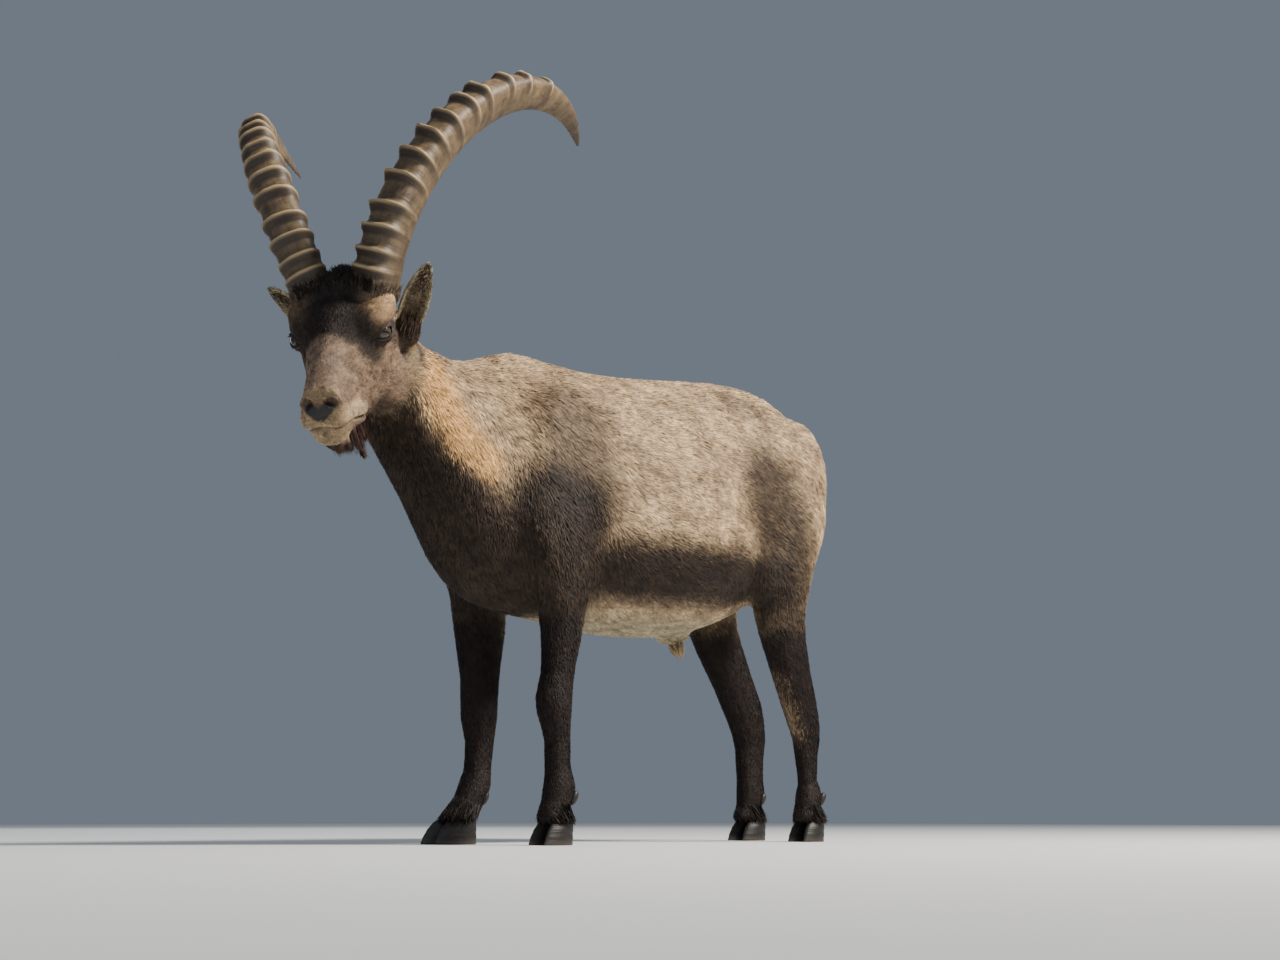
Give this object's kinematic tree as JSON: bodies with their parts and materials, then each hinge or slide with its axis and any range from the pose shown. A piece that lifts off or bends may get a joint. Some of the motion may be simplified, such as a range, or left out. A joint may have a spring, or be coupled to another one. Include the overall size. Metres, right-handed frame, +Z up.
{
  "type": "alpine ibex",
  "caption": "Still life-size standing male alpine ibex, head turned and lowered, long knobbed horns curving back, short summer coat, beard and cloven hooves.",
  "frame": {"origin": "on the floor, under the middle of the box round the whole animal", "axes": "+Z up, the animal faces -Y, its own left is +X"},
  "size_m": [0.7343, 1.3658, 1.4],
  "materials": {
    "head_coat": "matte, short dark brown hair",
    "neck_coat": "matte, short golden brown hair",
    "body_coat": "matte, short grey-beige hair, dark along the flank, pale on the belly",
    "tail_coat": "matte, blackish brown hair",
    "ear_coat": "matte, short grey-brown hair",
    "leg_coat": "matte, short blackish brown hair",
    "eye": "wet gloss, amber grey iris",
    "horn": "satin, fibrous grey-brown horn",
    "hoof": "satin, black hoof horn"
  },
  "bodies": {
    "root": {"head": "head_coat", "neck": "neck_coat", "torso": "body_coat", "tail": "tail_coat", "ear_left": "ear_coat", "ear_right": "ear_coat", "eye_left": "eye", "eye_right": "eye", "horn_left": "horn", "horn_right": "horn", "foreleg_left_upper": "leg_coat", "foreleg_left_lower": "leg_coat", "foreleg_right_upper": "leg_coat", "foreleg_right_lower": "leg_coat", "hind_leg_left_upper": "leg_coat", "hind_leg_left_lower": "leg_coat", "hind_leg_right_upper": "leg_coat", "hind_leg_right_lower": "leg_coat", "claw_fore_left_inner": "hoof", "claw_fore_left_outer": "hoof", "claw_fore_right_inner": "hoof", "claw_fore_right_outer": "hoof", "claw_hind_left_inner": "hoof", "claw_hind_left_outer": "hoof", "claw_hind_right_inner": "hoof", "claw_hind_right_outer": "hoof", "dewclaw_fore_left_inner": "hoof", "dewclaw_fore_left_outer": "hoof", "dewclaw_fore_right_inner": "hoof", "dewclaw_fore_right_outer": "hoof", "dewclaw_hind_left_inner": "hoof", "dewclaw_hind_left_outer": "hoof", "dewclaw_hind_right_inner": "hoof", "dewclaw_hind_right_outer": "hoof"}
  },
  "joints": []
}
